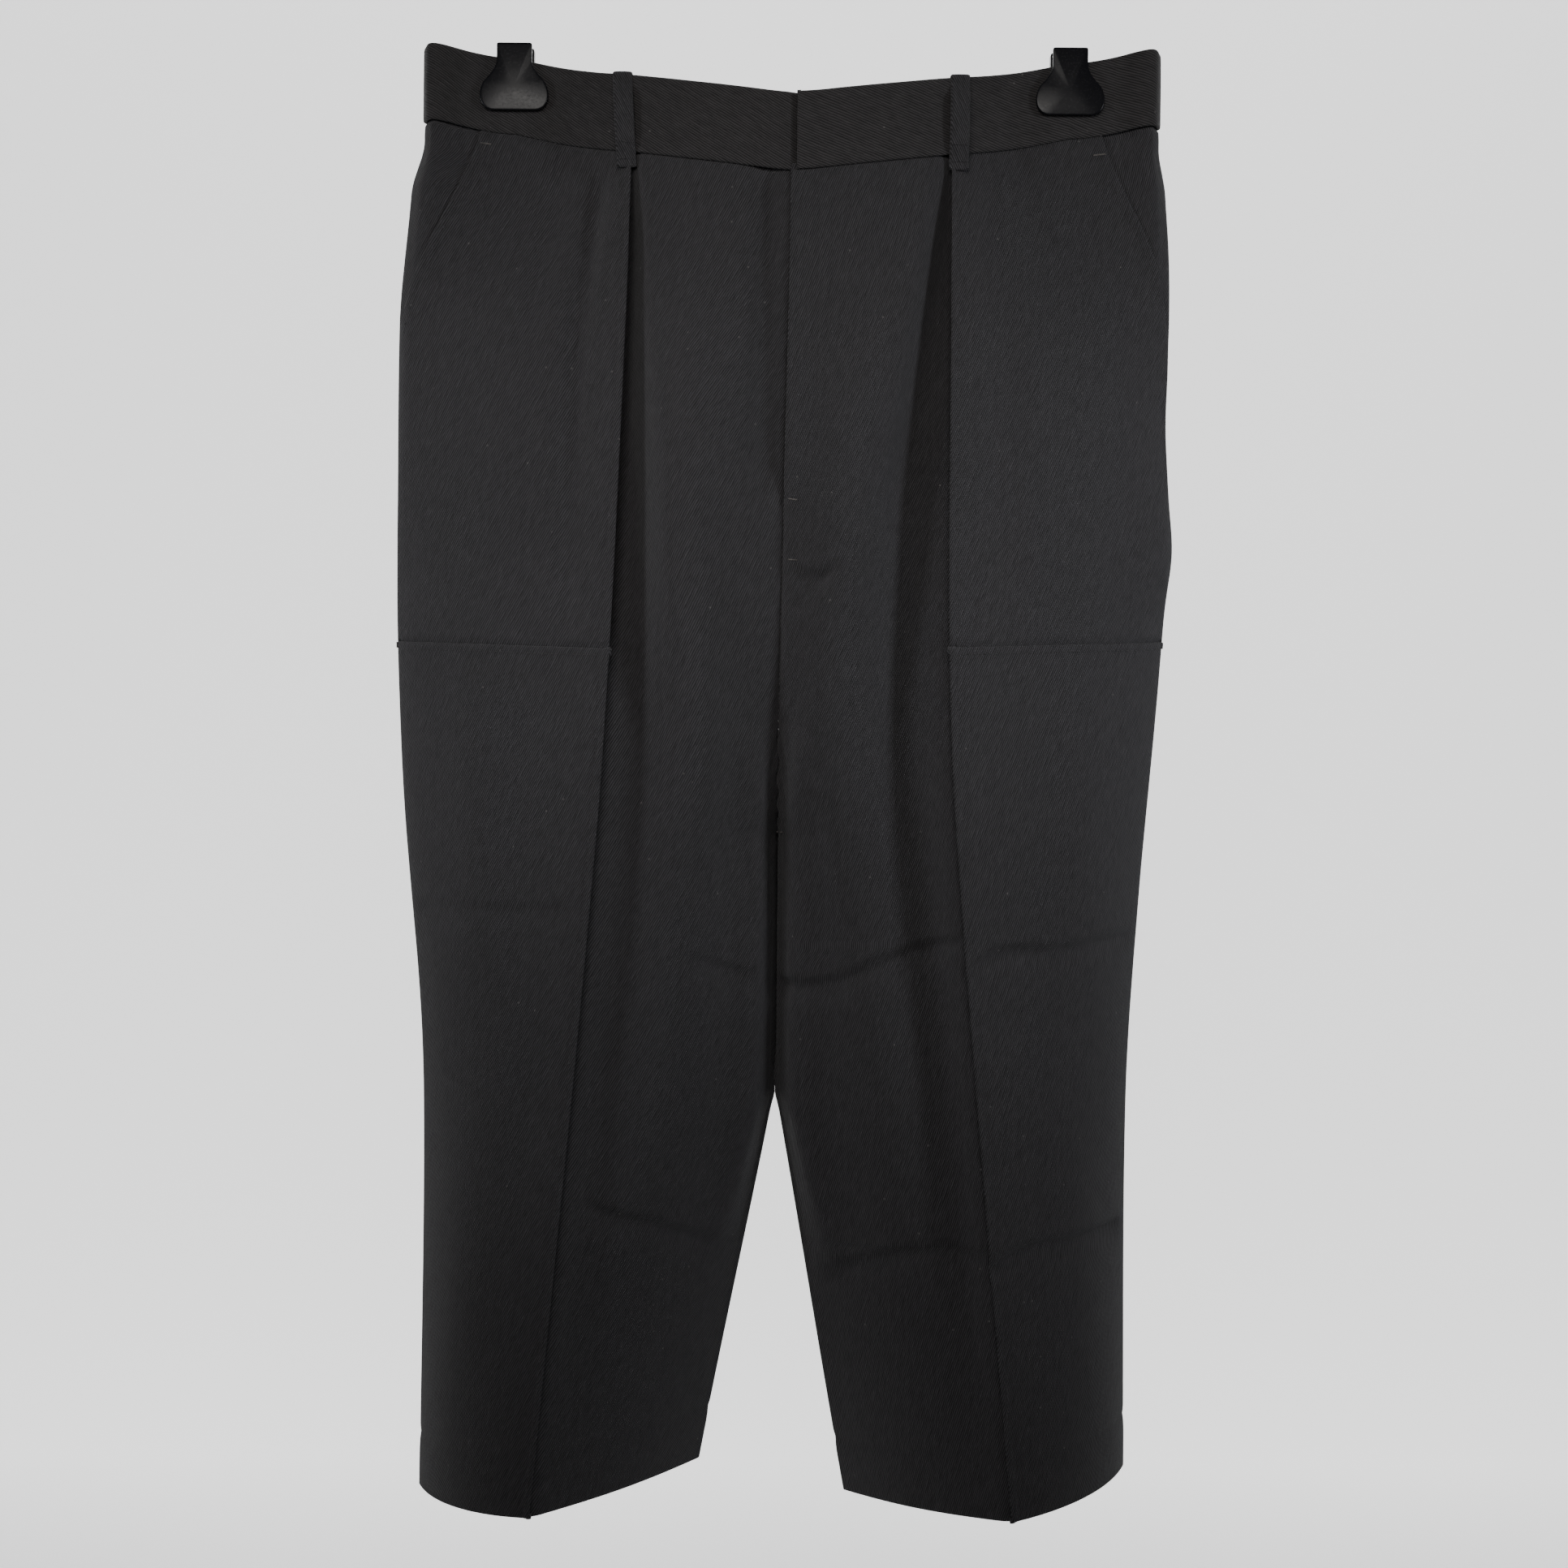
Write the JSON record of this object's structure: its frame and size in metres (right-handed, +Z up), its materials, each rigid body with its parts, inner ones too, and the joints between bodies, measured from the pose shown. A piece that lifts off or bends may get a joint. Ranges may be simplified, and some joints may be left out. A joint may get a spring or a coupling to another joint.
{
  "type": "trousers on clips",
  "caption": "Black cropped trousers with corded front creases, slant pockets and a fly, hanging from glossy hanger clips.",
  "frame": {"origin": "hang point midway between the two clips, level with their flat tops", "axes": "+Z up, -Y the garment's front, +X the wearer's left"},
  "size_m": [0.4085, 0.145, 0.757],
  "materials": {
    "cloth": "matt twill",
    "lining": "smooth satin lining",
    "zip_tape": "woven tape",
    "zip_metal": "dark plated",
    "steel": "bright",
    "clip_plastic": "polished black"
  },
  "bodies": {
    "garment": {"back_panel_left": "cloth", "back_panel_right": "cloth", "belt_loop_back_centre": "cloth", "belt_loop_back_left": "cloth", "belt_loop_back_right": "cloth", "belt_loop_front_left": "cloth", "belt_loop_front_right": "cloth", "clip_pin_left": "steel", "clip_pin_right": "steel", "clip_rear_jaw_left": "clip_plastic", "clip_rear_jaw_right": "clip_plastic", "clip_spring_left": "steel", "clip_spring_right": "steel", "fly_facing": "cloth", "fly_shield": "cloth", "front_inner_panel_left": "cloth", "front_inner_panel_right": "cloth", "front_lower_panel_left": "cloth", "front_lower_panel_right": "cloth", "front_upper_panel_left": "cloth", "front_upper_panel_right": "cloth", "hem_facing_left": "cloth", "hem_facing_right": "cloth", "pocket_bag_left": "lining", "pocket_bag_right": "lining", "pocket_facing_left": "cloth", "pocket_facing_right": "cloth", "waist_bar": "steel", "waist_hook": "steel", "waistband_left": "cloth", "waistband_lining_left": "lining", "waistband_lining_right": "lining", "waistband_right": "cloth", "zip_bottom_stop": "zip_metal", "zip_tape_left": "zip_tape", "zip_tape_right": "zip_tape", "zip_teeth_left": "zip_metal", "zip_teeth_right": "zip_metal", "zip_top_stop_left": "zip_metal", "zip_top_stop_right": "zip_metal"},
    "clip_jaw_right": {"clip_front_jaw_right": "clip_plastic"},
    "clip_jaw_left": {"clip_front_jaw_left": "clip_plastic"},
    "zip_slider": {"zip_slider": "zip_metal"},
    "zip_pull": {"zip_pull": "zip_metal"}
  },
  "joints": [
    {"name": "clip_right_open", "type": "hinge", "parent": "garment", "child": "clip_jaw_right", "pos_m": [-0.147, 0, -0.004], "axis": [-1, 0, 0], "range_deg": [0, 30], "stiffness_Nm_per_rad": 0.15, "springref_deg": -28.65},
    {"name": "clip_left_open", "type": "hinge", "parent": "garment", "child": "clip_jaw_left", "pos_m": [0.147, 0, -0.004], "axis": [-1, 0, 0], "range_deg": [0, 30], "stiffness_Nm_per_rad": 0.15, "springref_deg": -28.65},
    {"name": "zip_slide", "type": "slide", "parent": "garment", "child": "zip_slider", "axis": [0, 0, -1], "range_m": [0, 0.16]},
    {"name": "zip_pull_swing", "type": "hinge", "parent": "zip_slider", "child": "zip_pull", "pos_m": [0.01, -0.0234, -0.077], "axis": [-1, 0, 0], "range_deg": [0, 20]}
  ]
}
